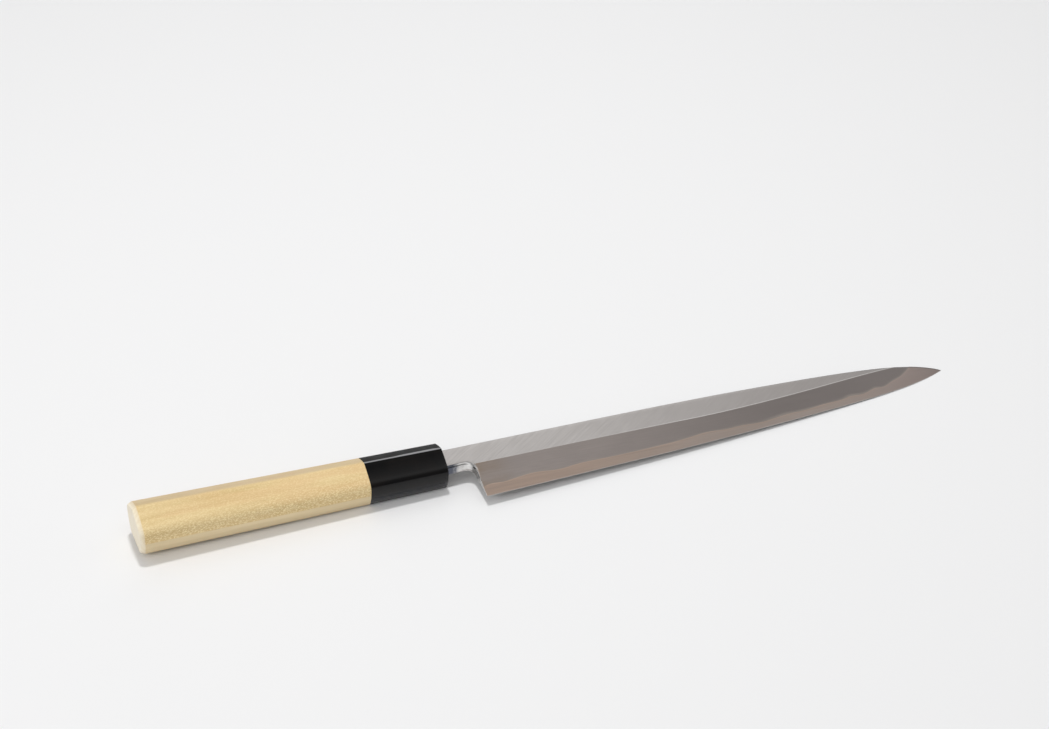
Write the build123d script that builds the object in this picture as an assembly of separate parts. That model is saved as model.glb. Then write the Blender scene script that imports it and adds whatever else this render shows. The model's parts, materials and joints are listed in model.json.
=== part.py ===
from build123d import *
import math
import os

# A single-bevelled slicing knife that lies bevel side up, as it is put down on a table.
# The knife is drawn in its own axes, in millimetres, with its origin in the middle of the
# ferrule's front face: +X to the tip, +Y to the spine and +Z to the bevelled side.
# The last lines lay it down on Z = 0.

# Handle and ferrule, which share one outer shape. Each side of it has moved outwards by the
# flare depth at the butt, which is sawn a little out of square.
handle_length = 146.2
ferrule_length = 37.8
front_width = 22.1
front_thickness = 17.6
flare_depth = 1.67
butt_slant = 3.0
butt_chamfer = 1.5
rim_chamfer = 0.5

# Section of the handle: a flat underside, two round sides and a ridge on the upper face
underside_share = 0.64
widest_height_share = 0.08
ridge_place_share = 0.022
spine_flank_slope = 19.5
belly_flank_slope = 16.3
low_corner_radius = 1.6
high_corner_radius = 4.2

# Joint between the wood and the horn
tenon_diameter = 14.0
tenon_length = 20.0
socket_clearance = 0.1
socket_end_gap = 0.4
tenon_chamfer = 0.6

# Blade seen from above
blade_length = 264.9
neck_length = 13.4
neck_above = 6.15
neck_below = 6.5
neck_rise = 0.9
heel_drop = 26.3
heel_lean = 0.5
choil_radius = 4.5
spine_slope = 0.84
edge_slope = 2.38
tip_drop = 4.6
sweep_length = 164.9
flat_height = 13.8
ridge_turn_length = 139.9
ridge_run_out = 21.9

# Blade seen from its edge
neck_thickness = 4.6
tip_thickness = 1.3
edge_thickness = 0.12
spine_rounding = 0.3
neck_rounding = 0.7

# Hollow ground into the back
hollow_depth = 0.4
hollow_heel_gap = 3.6
hollow_tip_gap = 10.9
spine_rim = 2.2
edge_rim = 1.1

# Tang and its slot
tang_length = 105.0
tang_end_height = 6.4
tang_end_thickness = 2.6
tang_end_radius = 2.0
tang_clearance = 0.15
slot_end_gap = 3.0

# How the knife lies: the edge side hangs a little lower than the spine
rest_roll = 2.5

# How far cutting shapes run past what they cut
overrun = 4.0
tip_overrun = 1.1

# Shapes of the curves, as powers and shares of the sizes above
taper_power = 1.3
ridge_power = 1.75
spine_sweep_shares = ((0.45, 2.1), (0.55, 10.0))
edge_sweep_shares = ((0.5, 1.65), (0.5, 10.0))
station_crowding_share = 1.5
stations = 17
hollow_stations = 9
hollow_end_power = 8
hollow_fade_share = 0.75
bevel_overrun_share = 0.25

# Height of the steel layer: place along the blade, then share of the local thickness
layer_shares = (
    (0.006, -0.30),
    (0.020, 0.00),
    (0.050, 0.29),
    (0.067, 0.345),
    (0.092, 0.32),
    (0.125, 0.365),
    (0.155, 0.38),
    (0.195, 0.31),
    (0.240, 0.345),
    (0.310, 0.32),
    (0.370, 0.315),
    (0.440, 0.34),
    (0.490, 0.40),
    (0.530, 0.335),
    (0.560, 0.33),
    (0.600, 0.265),
    (0.655, 0.31),
    (0.695, 0.285),
    (0.735, 0.315),
    (0.775, 0.30),
    (0.795, 0.34),
    (0.820, 0.29),
    (0.850, 0.38),
    (0.868, 0.34),
    (0.890, 0.45),
    (0.915, 0.57),
    (0.940, 0.85),
    (0.960, 1.25),
    (1.020, 1.60),
)


# Curves of the blade, each giving a place or a size at a distance from the ferrule

def sweep(x, shares):
    """Rise of a curve towards the tip, from 0 where it leaves its straight run to 1 at the tip."""
    u = max(0.0, 1 - (blade_length - x) / sweep_length)
    return sum(share * u**power for share, power in shares)


def spine_line(x):
    return neck_above + x * math.tan(math.radians(spine_slope))


def edge_line(x):
    return -heel_drop + (x - heel_place()) * math.tan(math.radians(edge_slope))


def heel_place():
    return neck_length + heel_lean


def spine_at(x):
    drop = spine_line(blade_length) + tip_drop
    return spine_line(x) - drop * sweep(x, spine_sweep_shares)


def edge_at(x):
    rise = -tip_drop - edge_line(blade_length)
    return edge_line(x) + rise * sweep(x, edge_sweep_shares)


def ridge_at(x):
    """Line between the flat and the bevel. It runs out of the spine a little before the tip."""
    turn_start = blade_length - ridge_turn_length
    v = max(0.0, (x - turn_start) / (ridge_turn_length - ridge_run_out))
    return spine_at(x) - flat_height * (1 - v**ridge_power)


def thickness_at(x):
    share = max(0.0, x / blade_length) ** taper_power
    return neck_thickness - (neck_thickness - tip_thickness) * share


def places(first, last, count=stations):
    """Places along the blade, closer together towards the tip."""
    steps = [i / (count - 1) for i in range(count)]
    return [last - (last - first) * (1 - s) ** station_crowding_share for s in steps]


back_height = -neck_thickness / 2


# Handle and ferrule

def tangent_arcs(start, inward, radius, end, outward):
    """Two arcs that run on smoothly: the first leaves start, the second arrives at end."""
    centre = start + inward * radius
    span = end - centre
    wide_radius = (span.dot(span) - radius**2) / (2 * (span.dot(outward) - radius))
    wide_centre = end - outward * wide_radius
    across = (centre - wide_centre).normalized()
    meeting = centre + across * radius
    return [
        ThreePointArc(start, centre + (across - inward).normalized() * radius, meeting),
        ThreePointArc(meeting, wide_centre + (across + outward).normalized() * wide_radius, end),
    ]


def front_section():
    """Face across the front of the ferrule, level below once the knife is laid down."""
    side = front_width / 2
    foot = side * underside_share
    level = front_thickness * widest_height_share
    low = front_thickness / 2
    ridge = Vector(front_width * ridge_place_share, low)
    outline = [Line((-foot, -low), (foot, -low))]
    for sign, slope in ((1, spine_flank_slope), (-1, belly_flank_slope)):
        lean = math.radians(slope)
        below = Vector(sign * foot, -low)
        widest = Vector(sign * side, level)
        outward = Vector(sign, 0)
        upward = Vector(sign * math.sin(lean), math.cos(lean))
        outline += tangent_arcs(below, Vector(0, 1), low_corner_radius, widest, outward)
        outline += tangent_arcs(widest, -outward, high_corner_radius, ridge, upward)
    return Plane.YZ * Rot(0, 0, -rest_roll) * make_face(outline)


def outer_shape():
    """Outer shape of the ferrule and the handle in one, growing evenly towards the butt."""
    growth = math.degrees(math.atan2(flare_depth, handle_length))
    return extrude(front_section(), -handle_length - overrun, taper=-growth)


def joint_plane():
    """Plane where the wood meets the horn."""
    return Plane.YZ.offset(-ferrule_length)


def tang_section(x, clearance):
    """Rectangle across the tang at x, grown by a clearance."""
    s = max(0.0, -x) / tang_length
    height = (neck_above + neck_below) * (1 - s) + tang_end_height * s
    thickness = neck_thickness * (1 - s) + tang_end_thickness * s
    middle = (neck_above - neck_below) / 2 * (1 - s)
    face = Rectangle(height + 2 * clearance, thickness + 2 * clearance)
    return Plane.YZ.offset(x) * Pos(middle, 0) * face


def tang_slot():
    """Space that the tang takes in the horn and the wood."""
    end = -tang_length - slot_end_gap
    tapered = loft([tang_section(end, tang_clearance), tang_section(0, tang_clearance)], ruled=True)
    return tapered + extrude(tang_section(0, tang_clearance), overrun)


def make_ferrule():
    horn = split(outer_shape(), joint_plane(), keep=Keep.TOP)
    rim = horn.faces().sort_by(Axis.X)[-1]
    horn = chamfer(rim.edges(), rim_chamfer)
    socket_depth = tenon_length + socket_end_gap
    socket_radius = tenon_diameter / 2 + socket_clearance
    socket = extrude(joint_plane() * Circle(socket_radius), socket_depth)
    return horn - socket - tang_slot()


def butt_plane():
    """Plane of the butt, which is sawn a little out of square: longer on the spine side."""
    return Plane((-handle_length, 0, 0), z_dir=Vector(-1, 0, 0).rotate(Axis.Z, butt_slant))


def make_handle():
    wood = split(outer_shape(), joint_plane(), keep=Keep.BOTTOM)
    wood = split(wood, butt_plane(), keep=Keep.BOTTOM)
    butt = wood.faces().sort_by(Axis.X)[0]
    wood = chamfer(butt.edges(), butt_chamfer)
    tenon = extrude(joint_plane() * Circle(tenon_diameter / 2), tenon_length)
    tenon = chamfer(tenon.edges().sort_by(Axis.X)[-1], tenon_chamfer)
    return wood + tenon - tang_slot()


# Blade

def blade_outline():
    """The blade and its neck seen from the bevelled side."""
    tip = (blade_length, -tip_drop)
    sweeps = places(blade_length - sweep_length, blade_length)
    spine_points = [(x, spine_at(x)) for x in sweeps[:-1]] + [tip]
    edge_points = [(x, edge_at(x)) for x in sweeps[:-1]] + [tip]
    heel = (heel_place(), edge_at(heel_place()))
    neck_corner = (neck_length, -neck_below + neck_rise)
    outline = [
        Line((0, neck_above), spine_points[0]),
        Spline(spine_points),
        Spline(edge_points),
        Line(edge_points[0], heel),
        Line(heel, neck_corner),
        Line(neck_corner, (0, -neck_below)),
        Line((0, -neck_below), (0, neck_above)),
    ]
    return make_face(outline)


def side_outline():
    """The blade seen from the edge, thinning to the tip, with the flat back below."""
    last = blade_length + overrun
    top_points = [(x, back_height + thickness_at(x)) for x in places(0, last)]
    outline = [
        Spline(top_points),
        Line(top_points[-1], (last, back_height)),
        Line((last, back_height), (0, back_height)),
        Line((0, back_height), top_points[0]),
    ]
    return make_face(outline)


def across_blade(face):
    """A face drawn in x and z, run across the whole width of the blade."""
    reach = heel_drop + overrun
    return extrude(Plane.XZ.offset(-reach) * face, 2 * reach)


def upper_edges(blade):
    """Edges of the blade's upper face, apart from its end at the ferrule."""
    upper = blade.faces().sort_by(SortBy.AREA)[-2:].sort_by(Axis.Z)[-1]
    return upper.edges().filter_by(Axis.Y, reverse=True)


def blank():
    """The forged blank: plan and taper, with the neck, the choil and the spine eased on top."""
    plan = blade_outline()
    corner = plan.vertices().sort_by_distance((neck_length, -neck_below + neck_rise))[0]
    plan = fillet(corner, choil_radius)
    blade = extrude(Pos(0, 0, -neck_thickness) * plan, 2 * neck_thickness)
    blade &= across_blade(side_outline())
    neck = upper_edges(blade).filter_by(lambda edge: edge.center().X < heel_place())
    blade = fillet(neck, neck_rounding)
    spine = upper_edges(blade).filter_by(lambda edge: edge.center().Y > 0)
    return fillet(spine, spine_rounding)


def tang():
    """Tapering tang with its end corners rounded in plan."""
    taper = loft([tang_section(-tang_length, 0), tang_section(0, 0)], ruled=True)
    end = taper.faces().sort_by(Axis.X)[0]
    return fillet(end.edges().filter_by(Axis.Z), tang_end_radius)


def above_bevel():
    """Everything over the ground bevel, whose ruled face runs from the ridge line to the edge."""
    upper = []
    lower = []
    for x in places(neck_length - overrun, blade_length + tip_overrun):
        ridge = Vector(x, ridge_at(x), back_height + thickness_at(x))
        edge = Vector(x, edge_at(x), back_height + edge_thickness)
        across = (ridge - edge) * bevel_overrun_share
        upper.append(ridge + across)
        lower.append(edge - across)
    face = Face.make_surface_from_curves(Spline(lower), Spline(upper))
    return extrude(face, neck_thickness + overrun, dir=(0, 0, 1))


def steel_layer():
    """Everything below the forge-welded joint, whose height wanders along the blade."""
    seam = [
        (place * blade_length, back_height + share * thickness_at(place * blade_length))
        for place, share in layer_shares
    ]
    below = back_height - overrun
    outline = [
        Spline(seam),
        Line(seam[-1], (seam[-1][0], below)),
        Line((seam[-1][0], below), (seam[0][0], below)),
        Line((seam[0][0], below), seam[0]),
    ]
    return across_blade(make_face(outline))


def hollow():
    """Shallow hollow of the back, with a narrow flat rim all round."""
    start = neck_length + hollow_heel_gap
    end = blade_length - hollow_tip_gap
    sections = []
    for x in places(start, end, hollow_stations):
        s = (x - start) / (end - start)
        fade = 1 - hollow_fade_share * abs(2 * s - 1) ** hollow_end_power
        low = edge_at(x) + edge_rim
        high = spine_at(x) - spine_rim
        depth = hollow_depth * fade
        half = (high - low) / 2 * fade * math.sqrt((depth + hollow_depth) / depth)
        middle = (low + high) / 2
        foot = back_height - hollow_depth
        arc = ThreePointArc((middle - half, foot), (middle, back_height + depth), (middle + half, foot))
        section = make_face([arc, Line(arc @ 1, arc @ 0)])
        sections.append(Plane.YZ.offset(x) * section)
    return loft(sections)


def make_blade():
    """The iron and the steel, cut apart along the forge-welded joint."""
    blade = blank() - above_bevel()
    layer = steel_layer()
    cladding = blade - layer + tang()
    steel = (blade & layer) - hollow()
    return cladding, steel


# How the knife is laid down: rolled a little to its edge side, then tipped onto its point

def laid_down(shape):
    point = -tip_drop * math.sin(math.radians(rest_roll)) + back_height * math.cos(math.radians(rest_roll))
    foot_x = -rim_chamfer
    foot = -front_thickness / 2 - flare_depth * rim_chamfer / handle_length
    pitch = math.degrees(math.atan2(point - foot, blade_length - foot_x))
    return Rot(0, pitch, 0) * Rot(rest_roll, 0, 0) * shape


cladding, steel = make_blade()
pieces = {
    "blade_cladding": cladding,
    "cutting_steel": steel,
    "ferrule": make_ferrule(),
    "handle": make_handle(),
}
laid = {name: laid_down(piece) for name, piece in pieces.items()}
boxes = [piece.bounding_box() for piece in laid.values()]
lowest = [min(getattr(box.min, axis) for box in boxes) for axis in "XYZ"]
highest = [max(getattr(box.max, axis) for box in boxes) for axis in "XYZ"]
seat = Pos(-(lowest[0] + highest[0]) / 2, -(lowest[1] + highest[1]) / 2, -lowest[2])

os.makedirs("parts", exist_ok=True)
for name, piece in laid.items():
    piece = seat * piece
    box = piece.bounding_box()
    print(name, round(piece.volume), [round(v, 2) for v in (*box.min, *box.max)])
    export_step(piece, f"parts/{name}.step")
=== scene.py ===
import bpy
import bmesh
import json
import math
from mathutils import Matrix, Vector


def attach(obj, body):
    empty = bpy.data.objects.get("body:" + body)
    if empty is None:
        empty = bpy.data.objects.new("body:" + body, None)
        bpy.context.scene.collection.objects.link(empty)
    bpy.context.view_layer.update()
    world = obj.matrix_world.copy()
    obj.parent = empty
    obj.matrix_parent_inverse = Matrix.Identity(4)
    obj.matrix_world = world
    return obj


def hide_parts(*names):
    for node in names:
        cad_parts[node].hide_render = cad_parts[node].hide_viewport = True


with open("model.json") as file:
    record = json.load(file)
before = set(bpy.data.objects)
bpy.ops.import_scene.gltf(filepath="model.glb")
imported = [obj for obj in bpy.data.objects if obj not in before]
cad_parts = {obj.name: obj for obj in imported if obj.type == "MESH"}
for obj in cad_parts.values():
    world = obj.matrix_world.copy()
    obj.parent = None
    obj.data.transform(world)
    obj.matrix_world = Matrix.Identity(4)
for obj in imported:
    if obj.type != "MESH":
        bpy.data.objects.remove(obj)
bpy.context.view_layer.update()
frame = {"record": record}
mm = 0.001

# Knife axes: the origin is in the middle of the ferrule's front face,
# X points to the tip, Y to the spine and Z out of the bevelled side
mounts = {mount["name"]: mount for mount in frame["record"]["mounts"]}
backMark = {"along": 11.0, "below": 2.3}  # where the mount on the back lies, in mm
axisX = Vector(mounts["sheath"]["axis"]).normalized()
axisZ = -Vector(mounts["blade_back"]["axis"]).normalized()
axisY = axisZ.cross(axisX).normalized()
backPlace = Vector(mounts["blade_back"]["pos_m"])
origin = backPlace - axisX * backMark["along"] * mm + axisZ * backMark["below"] * mm
turn = Matrix((axisX, axisY, axisZ)).transposed()
knifeToFrame = Matrix.Translation(origin) @ turn.to_4x4() @ Matrix.Scale(mm, 4)

# Camera, at the photograph's viewing angle
view = {"place": (-0.27989, -0.72197, 0.6253), "look": (0.273, 0.758, -0.592), "lens": 71.07, "clip": 0.01}
camera = bpy.data.cameras.new("camera")
camera.lens = view["lens"]
camera.clip_start = view["clip"]
cameraObject = bpy.data.objects.new("camera", camera)
cameraObject.location = view["place"]
cameraObject.rotation_euler = Vector(view["look"]).to_track_quat("-Z", "Y").to_euler()
bpy.context.collection.objects.link(cameraObject)
bpy.context.scene.camera = cameraObject
bpy.context.scene.view_settings.view_transform = "Standard"
print("camera ready")


# Helpers for meshes, which are all drawn in knife axes in millimetres


def startRing(bm, points):
    ring = bmesh.ops.create_circle(bm, cap_ends=False, radius=1.0, segments=len(points))["verts"]
    for vert, point in zip(ring, points):
        vert.co = point
    return ring


def loopEdges(bm, ring):
    return [bm.edges.get((ring[i - 1], ring[i])) for i in range(len(ring))]


# Extrudes a ring of vertices and puts the new ones on the given points
def nextRing(bm, ring, points):
    made = bmesh.ops.extrude_edge_only(bm, edges=loopEdges(bm, ring))["geom"]
    fresh = {item for item in made if isinstance(item, bmesh.types.BMVert)}
    newRing = []
    for vert, point in zip(ring, points):
        partner = next(edge.other_vert(vert) for edge in vert.link_edges if edge.other_vert(vert) in fresh)
        partner.co = point
        newRing.append(partner)
    return newRing


# A tube through rings of points. Its ends are filled, or joined to each other
def loftRings(bm, rings, closed=False):
    first = ring = startRing(bm, rings[0])
    for points in rings[1:]:
        ring = nextRing(bm, ring, points)
    ends = [loopEdges(bm, first), loopEdges(bm, ring)]
    if closed:
        bmesh.ops.bridge_loops(bm, edges=ends[0] + ends[1])
        return
    for edges in ends:
        bmesh.ops.contextual_create(bm, geom=edges)


# Closes a bmesh into an object that sits at the origin of the frame. The creases stay sharp at any angle
def finishPiece(bm, name, materials, nodes, sharpAngle, creases=()):
    bmesh.ops.recalc_face_normals(bm, faces=bm.faces)
    bmesh.ops.transform(bm, matrix=knifeToFrame, verts=bm.verts)
    for face in bm.faces:
        face.smooth = True
    for edge in bm.edges:
        edge.smooth = len(edge.link_faces) == 2 and edge.calc_face_angle(0.0) < math.radians(sharpAngle)
    for edge in creases:
        edge.smooth = False
    mesh = bpy.data.meshes.new(name)
    bm.to_mesh(mesh)
    bm.free()
    for material in materials:
        mesh.materials.append(material)
    piece = bpy.data.objects.new(name, mesh)
    bpy.context.collection.objects.link(piece)
    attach(piece, "root")
    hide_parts(*nodes)
    print(name, "ready:", len(mesh.polygons), "faces")


# Handle and ferrule. Lengths are in mm and angles in degrees

grip = {
    "length": 146.2,
    "ferruleLength": 37.8,
    "width": 22.1,
    "thickness": 17.6,
    "flare": 1.67,           # how far each side has moved out at the butt
    "underside": 0.64,       # share of the width that is flat below
    "widest": 0.08,          # height of the widest place, share of the thickness
    "ridge": 0.022,          # how far the ridge is off the middle, share of the width
    "spineSlope": 19.5,
    "bellySlope": 16.3,
    "lowCorner": 1.6,
    "highCorner": 4.2,
    "roll": 2.5,
    "slant": 3.0,            # the butt is sawn out of square
    "chamferRun": 2.0,
    "chamferRise": 1.1,
    "chamferSoftness": 0.22,
    "woodRidgeWidth": 0.9,   # how wide the ridge is rounded
    "hornRidgeWidth": 0.6,
    "jointBevel": 0.12,      # on both sides of the line between wood and horn
    "rim": 0.5,
    "tenonRadius": 7.0,
    "tenonLength": 20.0,
    "tenonChamfer": 0.6,
    "socketPlay": 0.1,
    "socketEnd": 0.4,
    "slotLength": 108.0,
    "slotPlay": 0.15,
    "mouthDepth": 0.25,      # the slot is a little wider where it comes out in front
    "mouthPlay": 0.2,
    "sharpAngle": 40.0,
}
gripMesh = {
    "undersideAt": (0.0, 0.35, 0.7),
    "lowSteps": (6, 7),      # on a tight arc and on the wide one after it
    "highSteps": (8, 9),
    "handleStations": 14,
    "ferruleStations": 8,
    "lastGap": 3.0,
    "capInset": 2.0,
    "rimSteps": 5,
    "ridgeSegments": 4,
    "chamferSegments": 3,
    "ridgeRun": 1.0,         # an edge of the ridge is longer than this, and this close to its line
    "ridgeDrop": 0.1,
    "ridgeTurn": 0.01,
    "chamferEdgeRun": 0.5,   # an edge round the chamfer runs less than this along the handle
    "decimals": 3,
}
tang = {
    "length": 105.0,
    "endHeight": 6.4,
    "endThickness": 2.6,
    "above": 6.15,
    "below": 6.5,
    "thickness": 4.6,
    "stations": (-60.0, -20.0, -0.3),
}
slantRate = math.tan(math.radians(grip["slant"]))


# Points of an arc with their outward normals, without the last one
def arcPoints(centre, radius, fromAngle, toAngle, count):
    out = []
    for i in range(count):
        angle = fromAngle + (toAngle - fromAngle) * i / count
        normal = Vector((math.cos(angle), math.sin(angle)))
        out.append((centre + normal * radius, normal))
    return out


# One side of the grip's front section, from the middle of the underside to the ridge
def halfSection(sign, slope):
    side, low = grip["width"] / 2, grip["thickness"] / 2
    foot, level = side * grip["underside"], grip["thickness"] * grip["widest"]
    ridge = Vector((grip["width"] * grip["ridge"] * sign, low))
    widest = Vector((side, level))
    lowCentre = Vector((foot, grip["lowCorner"] - low))
    highCentre = Vector((side - grip["highCorner"], level))
    sideways = Vector((1, 0))
    upward = Vector((math.sin(math.radians(slope)), math.cos(math.radians(slope))))
    out = [(Vector((foot * share, -low)), Vector((0, -1))) for share in gripMesh["undersideAt"]]
    for centre, radius, startAngle, end, outward, steps in (
        (lowCentre, grip["lowCorner"], -math.pi / 2, widest, sideways, gripMesh["lowSteps"]),
        (highCentre, grip["highCorner"], 0.0, ridge, upward, gripMesh["highSteps"]),
    ):
        span = end - centre
        wide = (span.dot(span) - radius**2) / (2 * (span.dot(outward) - radius))
        wideCentre = end - outward * wide
        across = centre - wideCentre
        turning = math.atan2(across.y, across.x)
        out += arcPoints(centre, radius, startAngle, turning, steps[0])
        out += arcPoints(wideCentre, wide, turning, math.atan2(outward.y, outward.x), steps[1])
    out.append((ridge, upward))
    return [(Vector((p.x * sign, p.y)), Vector((n.x * sign, n.y))) for p, n in out]


# Points and offset directions round the section, starting under the middle
def gripOutline():
    right = halfSection(1, grip["spineSlope"])
    left = halfSection(-1, grip["bellySlope"])
    crest = right[-1][1] + left[-1][1]
    crest = crest * (2 / crest.dot(crest))
    return right[:-1] + [(right[-1][0], crest)] + left[:0:-1]


outline = gripOutline()
crestPlace = max(range(len(outline)), key=lambda i: outline[i][0].y)
rollBack = Matrix.Rotation(math.radians(-grip["roll"]), 2)


# Ring round the grip at x. A slanted one lies in the plane of the butt
def gripRing(x, inset=0.0, slanted=False):
    grown = -x * grip["flare"] / grip["length"] - inset
    ring = []
    for point, normal in outline:
        flat = rollBack @ (point + normal * grown)
        lean = flat.x * slantRate if slanted else 0.0
        ring.append(Vector((x - lean, flat.x, flat.y)))
    return ring


# Ring round the tenon or its socket, with as many points as the grip has
def roundRing(x, radius):
    ring = []
    for point, _ in outline:
        flat = (rollBack @ point).normalized() * radius
        ring.append(Vector((x, flat.x, flat.y)))
    return ring


# Half height, half thickness and middle of the tang at x
def tangSection(x):
    share = max(0.0, -x) / tang["length"]
    halfHeight = ((tang["above"] + tang["below"]) * (1 - share) + tang["endHeight"] * share) / 2
    halfThick = (tang["thickness"] * (1 - share) + tang["endThickness"] * share) / 2
    return halfHeight, halfThick, (tang["above"] - tang["below"]) / 2 * (1 - share)


# Rectangle round the tang at x, grown by some play, with the same count again
def slotRing(x, play):
    halfHeight, halfThick, middle = tangSection(x)
    ring = []
    for point, _ in outline:
        flat = rollBack @ point
        across, up = max(abs(flat.x), 1e-6), max(abs(flat.y), 1e-6)
        reach = min((halfHeight + play) / across, (halfThick + play) / up)
        ring.append(Vector((x, middle + flat.x * reach, flat.y * reach)))
    return ring


def crestAngle(x):
    point = gripRing(x)[crestPlace]
    return math.atan2(point.y, point.z)


# How far an edge runs along the knife
def edgeRun(edge):
    return abs(edge.verts[0].co.x - edge.verts[1].co.x)


def bevelEdges(bm, edges, width, segments):
    bmesh.ops.bevel(bm, geom=edges, offset=width, segments=segments, profile=0.5, affect="EDGES", material=-1)


# Rounds the ridge that runs along the grip
def softenCrest(bm, width):
    lowest = outline[crestPlace][0].y - gripMesh["ridgeDrop"]

    def onRidge(vert):
        aside = abs(math.atan2(vert.co.y, vert.co.z) - crestAngle(vert.co.x))
        return vert.co.z > lowest and aside < gripMesh["ridgeTurn"]

    longEdges = [edge for edge in bm.edges if edgeRun(edge) > gripMesh["ridgeRun"]]
    crestEdges = [edge for edge in longEdges if all(onRidge(vert) for vert in edge.verts)]
    bevelEdges(bm, crestEdges, width, gripMesh["ridgeSegments"])


# Marks for the materials, in mm: distance across from the ridge, height above the middle, and distance
# from the butt
def markGrip(bm):
    layers = bm.verts.layers.float
    across, level, inward = [layers.new(name) for name in ("crestOffset", "gripLevel", "buttOffset")]
    for vert in bm.verts:
        flat = rollBack.transposed() @ vert.co.yz
        vert[across] = flat.x - outline[crestPlace][0].x
        vert[level] = flat.y
        vert[inward] = vert.co.x + vert.co.y * slantRate + grip["length"]


def buildHandle():
    joint = -grip["ferruleLength"]
    butt = -grip["length"]
    tenonEnd = joint + grip["tenonLength"]
    rings = [
        slotRing(-grip["slotLength"], grip["slotPlay"]),
        slotRing(tenonEnd, grip["slotPlay"]),
        roundRing(tenonEnd, grip["tenonRadius"] - grip["tenonChamfer"]),
        roundRing(tenonEnd - grip["tenonChamfer"], grip["tenonRadius"]),
        roundRing(joint, grip["tenonRadius"]),
        gripRing(joint, grip["jointBevel"]),
        gripRing(joint - grip["jointBevel"]),
    ]
    stations = gripMesh["handleStations"]
    chamferStart = butt + grip["chamferRun"]
    reach = chamferStart + gripMesh["lastGap"] - joint
    for i in range(1, stations):
        rings.append(gripRing(joint + reach * i / stations))
    rims = [gripRing(chamferStart, 0.0, True), gripRing(butt, grip["chamferRise"], True)]
    rings += rims + [gripRing(butt, grip["chamferRise"] + gripMesh["capInset"], True)]
    bm = bmesh.new()
    loftRings(bm, rings)
    rounded = lambda point: tuple(round(c, gripMesh["decimals"]) for c in point)
    rimPlaces = {rounded(point) for ring in rims for point in ring}
    levelEdges = [edge for edge in bm.edges if edgeRun(edge) < gripMesh["chamferEdgeRun"]]
    rimEdges = [edge for edge in levelEdges if all(rounded(vert.co) in rimPlaces for vert in edge.verts)]
    bevelEdges(bm, rimEdges, grip["chamferSoftness"], gripMesh["chamferSegments"])
    softenCrest(bm, grip["woodRidgeWidth"])
    markGrip(bm)
    finishPiece(bm, "handleWood", [woodMaterial], ["handle"], grip["sharpAngle"])


def buildFerrule():
    joint = -grip["ferruleLength"]
    socketEnd = joint + grip["tenonLength"] + grip["socketEnd"]
    socketRadius = grip["tenonRadius"] + grip["socketPlay"]
    rim = grip["rim"]
    rings = [
        roundRing(joint, socketRadius),
        roundRing(socketEnd, socketRadius),
        slotRing(socketEnd, grip["slotPlay"]),
        slotRing(-grip["mouthDepth"], grip["slotPlay"]),
        slotRing(0.0, grip["slotPlay"] + grip["mouthPlay"]),
        gripRing(0.0, rim + gripMesh["capInset"]),
    ]
    steps = gripMesh["rimSteps"]
    for i in range(steps + 1):
        angle = math.pi / 2 * (1 - i / steps)
        rings.append(gripRing(-rim * (1 - math.sin(angle)), rim * (1 - math.cos(angle))))
    stations = gripMesh["ferruleStations"]
    bodyEnd = joint + grip["jointBevel"]
    for i in range(1, stations):
        rings.append(gripRing(-rim + (bodyEnd + rim) * i / stations))
    rings += [gripRing(bodyEnd), gripRing(joint, grip["jointBevel"])]
    bm = bmesh.new()
    loftRings(bm, rings, closed=True)
    softenCrest(bm, grip["hornRidgeWidth"])
    markGrip(bm)
    finishPiece(bm, "ferruleHorn", [hornMaterial], ["ferrule"], grip["sharpAngle"])


# Blade. Lengths are in mm and angles in degrees

blade = {
    "length": 264.9,
    "neckLength": 13.4,
    "neckAbove": 6.15,
    "neckBelow": 6.5,
    "neckRise": 0.9,
    "heelDrop": 26.3,
    "heelLean": 0.5,
    "choilRadius": 4.5,
    "spineSlope": 0.84,
    "edgeSlope": 2.38,
    "tipDrop": 4.6,
    "sweepLength": 164.9,
    "spineSweep": ((0.45, 2.1), (0.55, 10.0)),  # shares and powers of the curve towards the tip
    "edgeSweep": ((0.5, 1.65), (0.5, 10.0)),
    "flatHeight": 13.8,
    "ridgeTurn": 139.9,      # how far before the tip the ridge starts to rise, and where it meets the spine
    "ridgeRunOut": 21.9,
    "ridgePower": 1.75,
    "neckThickness": 4.6,
    "tipThickness": 1.3,
    "taperPower": 1.3,
    "edgeThickness": 0.12,
    "spineEase": 0.3,
    "neckEase": 1.5,
    "heelEase": 0.25,
    "easeRate": 1.6,         # how fast the ease narrows down the choil
    "easeShare": 0.6,        # share of the thickness that an ease may take
    "hollowDepth": 0.4,
    "hollowFrom": 17.0,
    "hollowTo": 254.0,
    "hollowPower": 8,        # how square the ends of the hollow are
    "spineRim": 2.2,
    "edgeRim": 1.1,
    "claddingEnd": 249.45,
    "steelStart": 0.02,      # share of the length
    "sharpAngle": 33.0,
}
bladeMesh = {
    "neckSteps": 7,
    "choilSteps": 14,
    "downSteps": 12,
    "columns": 170,
    "crowding": 1.25,        # columns stand closer towards the tip
    "choilLean": 5.0,        # how far a column's spine end is ahead of its lower end, below the round choil
    "heelLean": 9.0,         # and at the heel
    "leanFade": 45.0,
    "easePoints": 8,
    "bevelPoints": 11,
    "flatPoints": 9,
    "spinePoints": 4,
    "floorPoints": 8,
    "stripPoints": 9,
    "jointPoints": 8,
    "backPoints": 17,
    "mergeWithin": 0.004,
    "dropWithin": 0.002,
    "firstGap": 0.2,
    "halvings": 30,
    "underNormal": -0.9,
    "flatNormal": 0.985,
    "bevelNormal": 0.9,
    "neckSpare": 1.0,
}
backHeight = -blade["neckThickness"] / 2
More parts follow.
